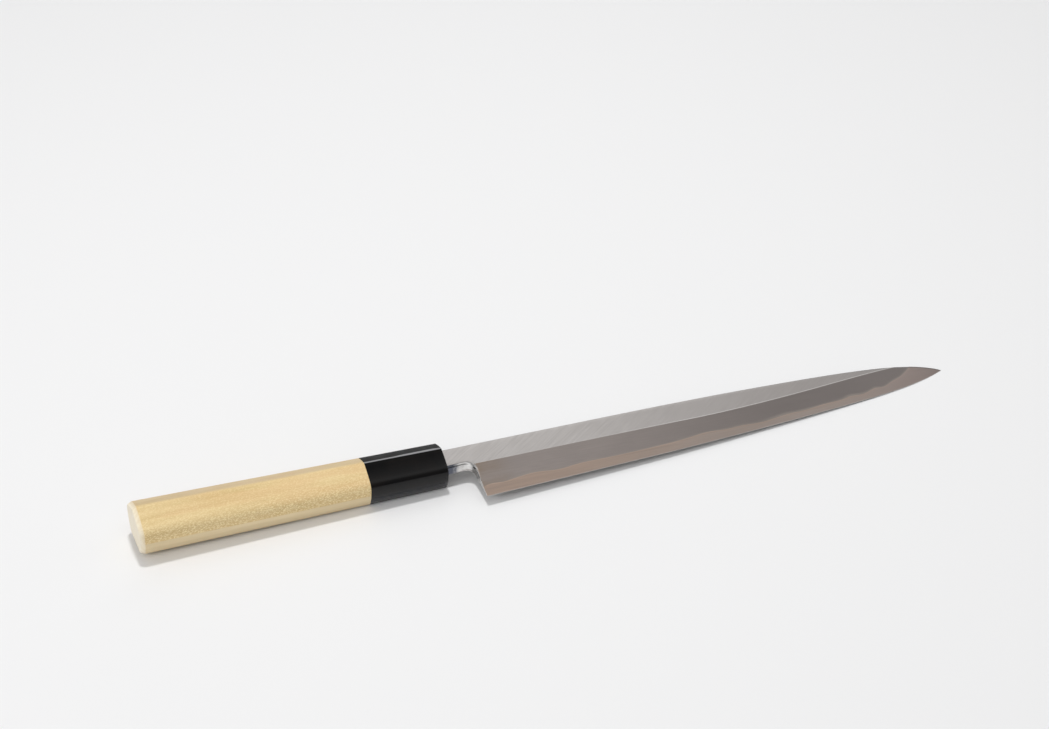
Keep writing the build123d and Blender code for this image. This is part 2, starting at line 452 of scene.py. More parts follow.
seamMarks = [  # height of the steel layer: share of the length, share of the thickness
    (0.006, -0.30), (0.020, 0.00), (0.050, 0.29), (0.067, 0.345), (0.092, 0.32), (0.125, 0.365),
    (0.155, 0.38), (0.195, 0.31), (0.240, 0.345), (0.310, 0.32), (0.370, 0.315), (0.440, 0.34),
    (0.490, 0.40), (0.530, 0.335), (0.560, 0.33), (0.600, 0.265), (0.655, 0.31), (0.695, 0.285),
    (0.735, 0.315), (0.775, 0.30), (0.795, 0.34), (0.820, 0.29), (0.850, 0.38), (0.868, 0.34),
    (0.890, 0.45), (0.915, 0.57), (0.940, 0.85), (0.960, 1.25), (1.020, 1.60),
]
heel = blade["neckLength"] + blade["heelLean"]


# How far the curve towards the tip has gone at x
def sweep(x, terms):
    u = max(0.0, 1 - (blade["length"] - x) / blade["sweepLength"])
    return sum(share * u**power for share, power in terms)


def spineAt(x):
    straight = lambda at: blade["neckAbove"] + at * math.tan(math.radians(blade["spineSlope"]))
    return straight(x) - (straight(blade["length"]) + blade["tipDrop"]) * sweep(x, blade["spineSweep"])


def edgeAt(x):
    straight = lambda at: -blade["heelDrop"] + (at - heel) * math.tan(math.radians(blade["edgeSlope"]))
    return straight(x) + (-blade["tipDrop"] - straight(blade["length"])) * sweep(x, blade["edgeSweep"])


def ridgeAt(x):
    v = max(0.0, (x - blade["length"] + blade["ridgeTurn"]) / (blade["ridgeTurn"] - blade["ridgeRunOut"]))
    return spineAt(x) - blade["flatHeight"] * (1 - v ** blade["ridgePower"])


def flatAt(x):
    share = min(1.0, max(0.0, x / blade["length"])) ** blade["taperPower"]
    return backHeight + blade["neckThickness"] - (blade["neckThickness"] - blade["tipThickness"]) * share


def bevelAt(x, y):
    foot = backHeight + blade["edgeThickness"]
    share = (y - edgeAt(x)) / max(ridgeAt(x) - edgeAt(x), 0.01)
    return foot + (flatAt(x) - foot) * share


# Level of the whole upper surface
def upperAt(x, y):
    return min(flatAt(x), bevelAt(x, y))


# Level of the forge-welded joint, on a smooth curve through its marks
def seamAt(x):
    places = [place * blade["length"] for place, _ in seamMarks]
    heights = [backHeight + share * (flatAt(x) - backHeight) for x, (_, share) in zip(places, seamMarks)]
    if x <= places[0]:
        return heights[0]
    last = len(places) - 1
    i = next((i for i in range(1, len(places)) if places[i] >= x), last)

    def slope(j):
        before, after = max(j - 1, 0), min(j + 1, last)
        return (heights[after] - heights[before]) / (places[after] - places[before])

    span = places[i] - places[i - 1]
    u = (x - places[i - 1]) / span
    return (
        heights[i - 1] * (2 * u**3 - 3 * u**2 + 1) + slope(i - 1) * span * (u**3 - 2 * u**2 + u)
        + heights[i] * (3 * u**2 - 2 * u**3) + slope(i) * span * (u**3 - u**2)
    )


# Where the joint comes out on the bevel
def seamLine(x):
    foot = backHeight + blade["edgeThickness"]
    share = (seamAt(x) - foot) / (flatAt(x) - foot)
    return min(edgeAt(x) + (ridgeAt(x) - edgeAt(x)) * share, spineAt(x))


# How far the hollow ground back lies above the flat of the back
def hollowAt(x, y):
    s = (x - blade["hollowFrom"]) / (blade["hollowTo"] - blade["hollowFrom"])
    if not 0 < s < 1:
        return 0.0
    fade = 1 - abs(2 * s - 1) ** blade["hollowPower"]
    low, high = edgeAt(x) + blade["edgeRim"], spineAt(x) - blade["spineRim"]
    across = (y - (low + high) / 2) / ((high - low) / 2 * max(fade, 0.01))
    return blade["hollowDepth"] * fade * max(0.0, 1 - across**2)


# How far an eased upper edge lies below the surface, at a distance from the wall
def easedDrop(distance, ease):
    if distance >= ease:
        return 0.0
    return ease - math.sqrt(max(0.0, ease**2 - (ease - distance) ** 2))


# Share of the way from low to high where level(x, y) turns from negative to positive
def crossing(low, high, level):
    if level(*low) >= 0:
        return 0.0
    if level(*high) <= 0:
        return 1.0
    near, far = 0.0, 1.0
    for _ in range(bladeMesh["halvings"]):
        middle = (near + far) / 2
        if level(*low.lerp(high, middle)) < 0:
            near = middle
        else:
            far = middle
    return (near + far) / 2


def shares(count):
    return [i / (count - 1) for i in range(count)]


# Lower outline from the ferrule round the choil: points and inward normals, then the end of the round part,
# the heel, and the inward normal of the straight line between them
def neckWalk():
    neckSteps, choilSteps = bladeMesh["neckSteps"], bladeMesh["choilSteps"]
    front = Vector((0, -blade["neckBelow"]))
    corner = Vector((blade["neckLength"], blade["neckRise"] - blade["neckBelow"]))
    heelPoint = Vector((heel, edgeAt(heel)))
    along = (corner - front).normalized()
    down = (heelPoint - corner).normalized()
    turning = along.angle(down)
    tangentLength = blade["choilRadius"] * math.tan(turning / 2)
    roundStart, roundEnd = corner - along * tangentLength, corner + down * tangentLength
    inward = Vector((-along.y, along.x))
    centre = roundStart - inward * blade["choilRadius"]
    walk = [(front.lerp(roundStart, i / neckSteps), inward) for i in range(neckSteps)]
    for i in range(choilSteps):
        spoke = Matrix.Rotation(-turning * i / choilSteps, 2) @ inward
        walk.append((centre + spoke * blade["choilRadius"], spoke))
    return walk, roundEnd, heelPoint, Vector((-down.y, down.x))


# Columns across the blade: lower end, its inward normal and ease, and the end at the spine
def bladeColumns(lowerEnd, lastX, edgeLine):
    walk, roundEnd, _, across = neckWalk()
    choilLean, heelLean = bladeMesh["choilLean"], bladeMesh["heelLean"]
    columns = []

    def addColumn(low, inward, ease, ahead):
        x = min(low.x + ahead, lastX)
        columns.append((low, inward, ease, Vector((x, spineAt(x)))))

    for i, (point, inward) in enumerate(walk):
        turned = max(0, i - bladeMesh["neckSteps"]) / bladeMesh["choilSteps"]
        addColumn(point, inward, blade["neckEase"], choilLean * turned**2)
    steps = bladeMesh["downSteps"]
    for i in range(steps):
        narrowed = min(1.0, blade["easeRate"] * i / steps)
        ease = blade["neckEase"] + (blade["heelEase"] - blade["neckEase"]) * narrowed
        ahead = choilLean + (heelLean - choilLean) * i / steps
        addColumn(roundEnd.lerp(lowerEnd, i / steps), across, ease, ahead)
    for share in shares(bladeMesh["columns"] + 1):
        x = lowerEnd.x + (lastX - lowerEnd.x) * (1 - (1 - share) ** bladeMesh["crowding"])
        ahead = heelLean * math.exp(-(x - lowerEnd.x) / bladeMesh["leanFade"]) * math.sqrt(1 - share)
        addColumn(Vector((x, edgeLine(x))), across, 0.0, ahead)
    return columns


def claddingRing(column):
    low, inward, ease, high = column
    floorAt = lambda x: max(backHeight, seamAt(x))
    top = lambda p: upperAt(p.x, p.y)
    ease = min(ease, blade["easeShare"] * max(0.0, top(low) - floorAt(low.x)))
    ring = []
    for share in shares(bladeMesh["easePoints"]):
        inset = ease * (1 - math.cos(math.pi / 2 * share))
        p = low + inward * inset
        ring.append(Vector((*p, top(p) - easedDrop(inset, ease))))
    start = low + inward * ease
    outer = high - Vector((0, min(blade["spineEase"], (high - start).length / 2)))
    turnShare = crossing(start, outer, lambda x, y: y - ridgeAt(x))
    upperShares = [turnShare * share for share in shares(bladeMesh["bevelPoints"])[1:]]
    upperShares += [turnShare + (1 - turnShare) * share for share in shares(bladeMesh["flatPoints"])[1:]]
    for share in upperShares:
        p = start.lerp(outer, share)
        ring.append(Vector((*p, top(p))))
    spare = (high - outer).length
    for share in shares(bladeMesh["spinePoints"])[1:]:
        inset = spare * (1 - math.sin(math.pi / 2 * share))
        p = high - Vector((0, inset))
        ring.append(Vector((*p, max(floorAt(p.x), top(p) - easedDrop(inset, spare)))))
    for share in shares(bladeMesh["floorPoints"]):
        p = high.lerp(low, share)
        ring.append(Vector((*p, min(floorAt(p.x), top(p)))))
    return [Vector((p.x, p.y, max(p.z, min(floorAt(p.x), top(p))))) for p in ring]


# Rectangle round the tang, its points spread as a cladding ring has them
def tangRing(x, count):
    halfHeight, halfThick, middle = tangSection(x)
    floorPoints = bladeMesh["floorPoints"]
    upper = [middle - halfHeight + 2 * halfHeight * share for share in shares(count - floorPoints)]
    lower = [middle + halfHeight - 2 * halfHeight * share for share in shares(floorPoints)]
    return [Vector((x, y, halfThick)) for y in upper] + [Vector((x, y, -halfThick)) for y in lower]


def steelRing(column):
    low, high = column[0], column[3]
    top = lambda p: max(backHeight, min(seamAt(p.x), upperAt(p.x, p.y)))
    turnShare = crossing(low, high, lambda x, y: upperAt(x, y) - seamAt(x))
    upperShares = [turnShare * share for share in shares(bladeMesh["stripPoints"])]
    upperShares += [turnShare + (1 - turnShare) * share for share in shares(bladeMesh["jointPoints"])[1:]]
    ring = []
    for share in upperShares:
        p = low.lerp(high, share)
        ring.append(Vector((*p, top(p))))
    ring.append(Vector((*high, backHeight)))
    near = crossing(low, high, lambda x, y: y - edgeAt(x) - blade["edgeRim"])
    far = crossing(low, high, lambda x, y: y - spineAt(x) + blade["spineRim"])
    for share in shares(bladeMesh["backPoints"]):
        p = low.lerp(high, far + (near - far) * share)
        ring.append(Vector((*p, min(top(p), backHeight + hollowAt(p.x, p.y)))))
    ring.append(Vector((*low, backHeight)))
    return ring


# Lofts one half of the blade and gives each face the material that pick(face) names.
# It marks the distances from the lines on the blade. Edges between the first two materials stay sharp
def buildBladePiece(name, materials, nodes, rings, pick):
    bm = bmesh.new()
    loftRings(bm, rings)
    bmesh.ops.remove_doubles(bm, verts=bm.verts, dist=bladeMesh["mergeWithin"])
    bmesh.ops.dissolve_degenerate(bm, edges=bm.edges, dist=bladeMesh["dropWithin"])
    bmesh.ops.recalc_face_normals(bm, faces=bm.faces)
    bladeLines = {"ridgeOffset": ridgeAt, "edgeOffset": edgeAt, "seamOffset": seamLine, "spineOffset": spineAt}
    for mark, lineAt in bladeLines.items():
        layer = bm.verts.layers.float.new(mark)
        for vert in bm.verts:
            vert[layer] = vert.co.y - lineAt(vert.co.x)
    for face in bm.faces:
        face.material_index = pick(face)
    creases = [edge for edge in bm.edges if {face.material_index for face in edge.link_faces} == {0, 1}]
    finishPiece(bm, name, materials, nodes, blade["sharpAngle"], creases)


def buildCladding():
    roundEnd, heelPoint = neckWalk()[1:3]
    rise = crossing(heelPoint, roundEnd, lambda x, y: bevelAt(x, y) - seamAt(x))
    columns = bladeColumns(heelPoint.lerp(roundEnd, rise), blade["claddingEnd"], seamLine)
    rings = [claddingRing(column) for column in columns]
    tangRings = [tangRing(x, len(rings[0])) for x in (-tang["length"], *tang["stations"])]
    spare = bladeMesh["neckSpare"]

    def pick(face):
        centre, up = face.calc_center_median(), face.normal.z
        aboveRidge = centre.y > ridgeAt(centre.x)
        if up < bladeMesh["underNormal"] or up > bladeMesh["flatNormal"] and aboveRidge:
            return 0
        if up > bladeMesh["bevelNormal"] and not aboveRidge and centre.x > blade["neckLength"] - spare:
            return 1
        return 2 if centre.x < heel and centre.y < spineAt(centre.x) - spare else 0

    materials = [flatMaterial, bevelMaterial, polishedMaterial]
    buildBladePiece("bladeIron", materials, ["blade_cladding"], tangRings + rings, pick)


def buildSteel():
    columns = bladeColumns(neckWalk()[2], blade["length"], edgeAt)
    start = blade["steelStart"] * blade["length"]
    roundStart = columns[bladeMesh["neckSteps"]][0]
    low = columns[0][0].lerp(roundStart, start / roundStart.x)
    first = (low, columns[0][1], 0.0, Vector((low.x, spineAt(low.x))))
    rest = [column for column in columns if column[0].x > start + bladeMesh["firstGap"]]
    rings = [steelRing(column) for column in [first] + rest]
    pick = lambda face: 0 if face.normal.z > 0.5 else 1
    buildBladePiece("bladeSteel", [stripMaterial, backMaterial], ["cutting_steel"], rings, pick)


# Floor
floor = {"size": 6.0, "color": (0.86, 0.86, 0.863), "roughness": 0.6}
bm = bmesh.new()
bmesh.ops.create_grid(bm, x_segments=1, y_segments=1, size=floor["size"])
mesh = bpy.data.meshes.new("floor")
bm.to_mesh(mesh)
bm.free()
paper = bpy.data.materials.new("floorPaper")
paper.use_nodes = True
paperShader = paper.node_tree.nodes["Principled BSDF"]
paperShader.inputs["Base Color"].default_value = (*floor["color"], 1)
paperShader.inputs["Roughness"].default_value = floor["roughness"]
mesh.materials.append(paper)
floorObject = bpy.data.objects.new("floor", mesh)
bpy.context.collection.objects.link(floorObject)

# World: grey by how far a direction points behind the knife, from 0 straight in front to 1 straight behind.
# It is bright in a band on each side, and darker between them and at both ends
studio = {
    "behind": (-0.42, 0.906, 0.0),
    "steps": (
        (0.0, 0.18), (0.12, 0.3), (0.22, 0.74), (0.37, 0.84), (0.44, 0.55), (0.54, 0.2), (0.585, 0.28),
        (0.64, 0.48), (0.7, 0.66), (0.76, 0.88), (0.82, 0.92), (0.87, 0.5), (0.93, 0.18), (1.0, 0.12),
    ),
}
world = bpy.data.worlds.new("studio")
bpy.context.scene.world = world
world.use_nodes = True
nodes, links = world.node_tree.nodes, world.node_tree.links
background = nodes["Background"]
coordinates = nodes.new("ShaderNodeTexCoord")
facing = nodes.new("ShaderNodeVectorMath")
facing.operation = "DOT_PRODUCT"
facing.inputs[1].default_value = studio["behind"]
links.new(coordinates.outputs["Generated"], facing.inputs[0])
spread = nodes.new("ShaderNodeMapRange")
spread.inputs["From Min"].default_value = -1.0
spread.inputs["From Max"].default_value = 1.0
links.new(facing.outputs["Value"], spread.inputs["Value"])
ramp = nodes.new("ShaderNodeValToRGB")
for i, (place, level) in enumerate(studio["steps"]):
    stop = ramp.color_ramp.elements[i] if i < 2 else ramp.color_ramp.elements.new(place)
    stop.position = place
    stop.color = (level, level, level, 1)
links.new(spread.outputs["Result"], ramp.inputs["Fac"])
links.new(ramp.outputs["Color"], background.inputs["Color"])

# Lamps. They point at the knife and don't show in its reflections
lamps = [
    {"name": "overhead", "place": (-0.02, 0.3, 1.6), "size": 0.14, "power": 11.0},
    {"name": "side", "place": (-1.5, -0.6, 1.1), "size": 0.6, "power": 6.5},
]
for lamp in lamps:
    light = bpy.data.lights.new(lamp["name"], "AREA")
    light.size = lamp["size"]
    light.energy = lamp["power"]
    lampObject = bpy.data.objects.new(lamp["name"], light)
    lampObject.location = lamp["place"]
    lampObject.rotation_euler = (-Vector(lamp["place"])).to_track_quat("-Z", "Y").to_euler()
    lampObject.visible_glossy = False
    bpy.context.collection.objects.link(lampObject)
print("stage ready")


# Materials. Patterns are laid out in knife axes, in mm. In the settings, lines have a length and a width,
# a tint has a strength and a colour, and a fade has its start, its end and the values there


# A node tree being filled: short ways to add nodes and join them
class Sheet:
    def __init__(self, tree):
        self.tree = tree

    def add(self, kind, settings=None, **inputs):
        node = self.tree.nodes.new("ShaderNode" + kind)
        for key, value in (settings or {}).items():
            setattr(node, key, value)
        for key, value in inputs.items():
            self.feed(node, key, value)
        return node

    # Links or sets an input, which goes by its name or its number
    def feed(self, node, key, value):
        socket = node.inputs[key]
        if isinstance(value, bpy.types.NodeSocket):
            self.tree.links.new(value, socket)
        else:
            socket.default_value = value

    def math(self, operation, *values, kind="Math", output=0):
        node = self.add(kind, {"operation": operation})
        for i, value in enumerate(values):
            self.feed(node, i, value)
        return node.outputs[output]

    def vectorMath(self, operation, *values, output=0):
        return self.math(operation, *values, kind="VectorMath", output=output)

    def times(self, first, second):
        return self.math("MULTIPLY", first, second)

    def remap(self, value, fade, smooth=False):
        node = self.add("MapRange", {"interpolation_type": "SMOOTHSTEP" if smooth else "LINEAR"}, Value=value)
        for key, number in zip(("From Min", "From Max", "To Min", "To Max"), fade):
            self.feed(node, key, number)
        return node.outputs[0]

    def ease(self, value, fade):
        return self.remap(value, fade, True)

    # Turns a mask of 0 to 1 into values between two others
    def between(self, mask, ends):
        return self.remap(mask, (0.0, 1.0, *ends))

    def mix(self, share, first, second):
        node = self.add("Mix", {"data_type": "RGBA"})
        for i, value in ((0, share), (6, first), (7, second)):
            self.feed(node, i, (*value, 1) if isinstance(value, tuple) else value)
        return node.outputs[2]

    # Pulls a tone towards a colour where the mask is high
    def tint(self, tone, mask, strength, color):
        return self.mix(self.times(mask, strength), tone, color)

    def noise(self, vector, scale, detail=2.0, roughness=0.5):
        node = self.add("TexNoise", Vector=vector, Scale=scale, Detail=detail, Roughness=roughness)
        return node.outputs[0]

    # Coordinates squeezed so that a pattern is long along X and narrow across it
    def stretch(self, vector, size):
        along, across = size
        return self.vectorMath("MULTIPLY", vector, (1 / along, 1 / across, 1 / across))

    def longNoise(self, vector, size, detail=1.0, roughness=0.5):
        return self.noise(self.stretch(vector, size), 1.0, detail, roughness)

    def turned(self, vector, degrees):
        node = self.add("Mapping", {"vector_type": "POINT"}, Vector=vector)
        node.inputs["Rotation"].default_value = (0, 0, math.radians(degrees))
        return node.outputs[0]

    def along(self, vector):
        return self.add("SeparateXYZ", Vector=vector).outputs["X"]

    def mark(self, name):
        return self.add("Attribute", {"attribute_name": name}).outputs["Fac"]

    def use(self, group, **inputs):
        return self.add("Group", {"node_tree": group}, **inputs).outputs

    def lines(self, vector, size):
        return self.use(groundLines, Vector=vector, Length=size[0], Width=size[1])

    def cloud(self, vector, size):
        return self.use(blotches, Vector=vector, Size=size)["Cloud"]

    # Adds painted shade along the spine
    def spineShade(self, tone, along):
        return self.use(spineShadeLine, Color=tone, Along=along, Offset=self.mark("spineOffset"))["Color"]


# A node group with named float, vector and colour sockets
def newGroup(name, inputs, outputs):
    tree = bpy.data.node_groups.new(name, "ShaderNodeTree")
    kinds = {"vector": "NodeSocketVector", "value": "NodeSocketFloat", "color": "NodeSocketColor"}
    for way, sockets in (("INPUT", inputs), ("OUTPUT", outputs)):
        for label, kind in sockets.items():
            tree.interface.new_socket(label, in_out=way, socket_type=kinds[kind])
    return Sheet(tree), tree.nodes.new("NodeGroupInput").outputs, tree.nodes.new("NodeGroupOutput")


lineLook = {"broad": (1.0, 3.0, 0.6), "fine": (4.3, 2.0, 0.6), "contrast": (0.3, 0.7)}


# Ground or brushed lines along X: a streak mask and a height
def makeGroundLines():
    sheet, source, result = newGroup(
        "groundLines",
        {"Vector": "vector", "Length": "value", "Width": "value"},
        {"Streak": "value", "Height": "value"},
    )
    alongScale = sheet.math("DIVIDE", 1.0, source["Length"])
    acrossScale = sheet.math("DIVIDE", 1.0, source["Width"])
    squeeze = sheet.add("CombineXYZ", X=alongScale, Y=acrossScale, Z=acrossScale).outputs[0]
    squeezed = sheet.vectorMath("MULTIPLY", source["Vector"], squeeze)
    broad = sheet.noise(squeezed, *lineLook["broad"])
    fine = sheet.noise(squeezed, *lineLook["fine"])
    sheet.feed(result, "Streak", sheet.remap(broad, lineLook["contrast"]))
    sheet.feed(result, "Height", sheet.math("ADD", sheet.times(broad, 0.5), sheet.times(fine, 0.5)))
    return sheet.tree


blotchLook = {"noise": (1.0, 4.0, 0.55), "contrast": (0.32, 0.68)}


# Handling and age: soft blotches
def makeBlotches():
    sheet, source, result = newGroup("blotches", {"Vector": "vector", "Size": "value"}, {"Cloud": "value"})
    smaller = sheet.math("DIVIDE", 1.0, source["Size"])
    shrunk = sheet.add("VectorMath", {"operation": "SCALE"}, Vector=source["Vector"], Scale=smaller).outputs[0]
    sheet.feed(result, "Cloud", sheet.ease(sheet.noise(shrunk, *blotchLook["noise"]), blotchLook["contrast"]))
    return sheet.tree


spineShadeLook = {"width": (-0.75, -0.35), "reach": (120.0, 215.0, 0.1, 0.8), "tone": (0.24, 0.23, 0.225)}


# Painted shade along the rounded edge of the spine, darker towards the tip
def makeSpineShadeLine():
    sheet, source, result = newGroup(
        "spineShadeLine", {"Color": "color", "Along": "value", "Offset": "value"}, {"Color": "color"})
    # A dark line painted just below the spine, stronger towards the tip, is painted shade
    closeness = sheet.remap(source["Offset"], spineShadeLook["width"])
    reach = sheet.ease(source["Along"], spineShadeLook["reach"])
    sheet.feed(result, "Color", sheet.tint(source["Color"], closeness, reach, spineShadeLook["tone"]))
    return sheet.tree


groundLines = makeGroundLines()
blotches = makeBlotches()
spineShadeLine = makeSpineShadeLine()


# A material whose coordinates are the knife's axes in millimetres. Fixed values are set on the shader
def newMaterial(name, fixed):
    material = bpy.data.materials.new(name)
    material.use_nodes = True
    sheet = Sheet(material.node_tree)
    shader = material.node_tree.nodes["Principled BSDF"]
    for key, value in fixed.items():
        shader.inputs[key].default_value = value
    back = turn.transposed()
    place = sheet.add("Mapping", {"vector_type": "POINT"}, Vector=sheet.add("TexCoord").outputs["Object"])
    place.inputs["Scale"].default_value = (1 / mm, 1 / mm, 1 / mm)
    place.inputs["Rotation"].default_value = back.to_euler()
    place.inputs["Location"].default_value = -(back @ origin) / mm
    return material, sheet, shader, place.outputs[0]


# Joins the tone, the roughness and a bump of some strength and height in metres to the shader
def feedShader(sheet, shader, tone, roughness, height, bump):
    normal = sheet.add("Bump", Height=height, Strength=bump[0], Distance=bump[1]).outputs[0]
    for key, value in (("Base Color", tone), ("Roughness", roughness), ("Normal", normal)):
        sheet.feed(shader, key, value)


flatIron = {
    "slant": -36.5,
    "coarse": (26.0, 0.5),
    "fine": (9.0, 0.16),
    "cloudSize": 14.0,
    "tones": ((0.625, 0.595, 0.575), (0.755, 0.72, 0.70)),
    "fineTint": (0.55, (0.47, 0.445, 0.43)),
    "cloudTint": (0.16, (0.48, 0.45, 0.43)),
    "tipFade": (20.0, 215.0, 0.0, 0.66),
    "tipTone": (0.44, 0.405, 0.39),
    "ridgeHighlightFade": (0.15, 0.6, 1.0, 0.0),
    "ridgeHighlightReach": (60.0, 130.0, 0.2, 0.85),
    "ridgeHighlightTone": (0.88, 0.86, 0.84),
    "roughness": (0.36, 0.28),
    "bump": (0.25, 0.00002),
}


# The flat above the ridge, brushed at a slant, with a painted highlight along the ridge
def makeFlatIron():
    look = flatIron
    material, sheet, shader, place = newMaterial("flatIron", {"Metallic": 1.0})
    slanted = sheet.turned(place, look["slant"])
    coarse = sheet.lines(slanted, look["coarse"])
    fine = sheet.lines(slanted, look["fine"])
    along = sheet.along(place)
    tone = sheet.mix(coarse["Streak"], *look["tones"])
    tone = sheet.tint(tone, fine["Streak"], *look["fineTint"])
    tone = sheet.tint(tone, sheet.cloud(place, look["cloudSize"]), *look["cloudTint"])
    tone = sheet.mix(sheet.ease(along, look["tipFade"]), tone, look["tipTone"])
    # A pale line painted just above the ridge, stronger towards the tip, is a painted highlight
    ridgeHighlightMask = sheet.remap(sheet.mark("ridgeOffset"), look["ridgeHighlightFade"])
    tone = sheet.tint(tone, ridgeHighlightMask, sheet.ease(along, look["ridgeHighlightReach"]), look["ridgeHighlightTone"])
    tone = sheet.spineShade(tone, along)
    roughness = sheet.between(coarse["Streak"], look["roughness"])
    feedShader(sheet, shader, tone, roughness, fine["Height"], look["bump"])
    return material


bevelIron = {
    "coarse": (60.0, 1.1),
    "fine": (18.0, 0.18),
    "fineTurn": 4.0,
    "cloudShape": (2.5, 1.0),
    "cloudSize": 9.0,
    "tones": ((0.62, 0.545, 0.51), (0.69, 0.61, 0.575)),
    "tipFade": (40.0, 205.0, 0.0, 1.0),
    "tipTone": (0.395, 0.35, 0.335),
    "fineTint": (0.22, (0.40, 0.36, 0.34)),
    "cloudTint": (0.22, (0.45, 0.40, 0.38)),
    "seamRagged": (-0.5, 0.5),
    "seamFade": (0.0, 1.6, 0.55, 0.0),
    "seamTone": (0.62, 0.55, 0.49),
    "ridgeHighlightFade": (-0.45, 0.0),
    "ridgeHighlightTint": (0.45, (0.72, 0.66, 0.61)),
    "heelFade": (14.0, 34.0, 1.0, 0.0),
    "heelCloud": (0.2, 0.8, 0.25, 0.8),
    "heelTone": (0.52, 0.405, 0.315),
    "roughness": (0.4, 0.32),
    "bump": (0.2, 0.00002),
}


# The ground bevel in soft iron: lengthwise lines, clouds, a pale edge along the joint, and a painted highlight
# just below the ridge
def makeBevelIron():
    look = bevelIron
    material, sheet, shader, place = newMaterial("bevelIron", {"Metallic": 1.0})
    coarse = sheet.lines(place, look["coarse"])
    fine = sheet.lines(sheet.turned(place, look["fineTurn"]), look["fine"])
    cloud = sheet.cloud(sheet.stretch(place, look["cloudShape"]), look["cloudSize"])
    along = sheet.along(place)
    tone = sheet.mix(coarse["Streak"], *look["tones"])
    tone = sheet.mix(sheet.ease(along, look["tipFade"]), tone, look["tipTone"])
    tone = sheet.tint(tone, fine["Streak"], *look["fineTint"])
    tone = sheet.tint(tone, cloud, *look["cloudTint"])
    overSeam = sheet.math("ADD", sheet.mark("seamOffset"), sheet.between(cloud, look["seamRagged"]))
    tone = sheet.mix(sheet.ease(overSeam, look["seamFade"]), tone, look["seamTone"])
    # A pale band painted just below the ridge is a painted highlight
    underRidgeHighlight = sheet.remap(sheet.mark("ridgeOffset"), look["ridgeHighlightFade"])
    tone = sheet.tint(tone, underRidgeHighlight, *look["ridgeHighlightTint"])
    tone = sheet.spineShade(tone, along)
    nearHeel = sheet.ease(along, look["heelFade"])
    tone = sheet.tint(tone, nearHeel, sheet.remap(cloud, look["heelCloud"]), look["heelTone"])
    roughness = sheet.between(coarse["Streak"], look["roughness"])
    feedShader(sheet, shader, tone, roughness, fine["Height"], look["bump"])
    return material


stripSteel = {
    "coarse": (45.0, 0.9),
    "fine": (14.0, 0.15),
    "fineTurn": 3.0,
    "cloudShape": (3.0, 1.0),
    "cloudSize": 7.0,
    "warmFade": (20.0, 170.0, 1.0, 0.0),
    "tones": ((0.72, 0.62, 0.565), (0.84, 0.63, 0.51)),
    "coarseTint": (0.35, (0.64, 0.52, 0.455)),
    "fineTint": (0.25, (0.59, 0.49, 0.43)),
    "cloudTint": (0.3, (0.77, 0.61, 0.50)),
    "seamFade": (-1.3, 0.0, 0.0, 0.5),
    "seamTone": (0.70, 0.53, 0.43),
    "tipFade": (185.0, 262.0, 0.0, 0.75),
    "tipTone": (0.53, 0.435, 0.41),
    "edgeFade": (0.1, 0.4, 0.6, 0.0),
    "edgeHighlightTone": (0.86, 0.80, 0.74),
    "roughness": (0.38, 0.3),
    "bump": (0.15, 0.00002),
}


# The cutting steel below the joint, a little warmer, with a painted highlight right at the edge
def makeStripSteel():
    look = stripSteel
    material, sheet, shader, place = newMaterial("stripSteel", {"Metallic": 1.0})
    coarse = sheet.lines(place, look["coarse"])
    fine = sheet.lines(sheet.turned(place, look["fineTurn"]), look["fine"])
    cloud = sheet.cloud(sheet.stretch(place, look["cloudShape"]), look["cloudSize"])
    along = sheet.along(place)
    tone = sheet.mix(sheet.ease(along, look["warmFade"]), *look["tones"])
    tone = sheet.tint(tone, coarse["Streak"], *look["coarseTint"])
    tone = sheet.tint(tone, fine["Streak"], *look["fineTint"])
    tone = sheet.tint(tone, cloud, *look["cloudTint"])
    tone = sheet.mix(sheet.ease(sheet.mark("seamOffset"), look["seamFade"]), tone, look["seamTone"])
    tone = sheet.mix(sheet.ease(along, look["tipFade"]), tone, look["tipTone"])
    tone = sheet.spineShade(tone, along)
    # A pale line painted along the cutting edge is a painted highlight
    tone = sheet.mix(sheet.remap(sheet.mark("edgeOffset"), look["edgeFade"]), tone, look["edgeHighlightTone"])
    roughness = sheet.between(coarse["Streak"], look["roughness"])
    feedShader(sheet, shader, tone, roughness, fine["Height"], look["bump"])
    return material


backSteel = {
    "coarse": (50.0, 0.8),
    "fine": (12.0, 0.2),
    "fineTurn": 86.0,
    "cloudSize": 16.0,
    "tones": ((0.52, 0.50, 0.485), (0.62, 0.60, 0.58)),
    "cloudTint": (0.25, (0.50, 0.46, 0.43)),
    "edgeFade": (0.9, 1.2, 1.0, 0.0),
    "spineFade": (-2.4, -2.0, 0.0, 1.0),
    "rimTint": (0.6, (0.70, 0.68, 0.66)),
    "roughness": (0.33, 0.2),
    "bump": (0.12, 0.00002),
}


# The hollow ground back, with a brighter flat rim where it has been honed
def makeBackSteel():
    look = backSteel
    material, sheet, shader, place = newMaterial("backSteel", {"Metallic": 1.0})
    coarse = sheet.lines(place, look["coarse"])
    fine = sheet.lines(sheet.turned(place, look["fineTurn"]), look["fine"])
    tone = sheet.mix(coarse["Streak"], *look["tones"])
    tone = sheet.tint(tone, sheet.cloud(place, look["cloudSize"]), *look["cloudTint"])
    edgeRim = sheet.remap(sheet.mark("edgeOffset"), look["edgeFade"])
    spineRim = sheet.remap(sheet.mark("spineOffset"), look["spineFade"])
    rim = sheet.math("MAXIMUM", edgeRim, spineRim)
    tone = sheet.tint(tone, rim, *look["rimTint"])
    feedShader(sheet, shader, tone, sheet.between(rim, look["roughness"]), fine["Height"], look["bump"])
    return material


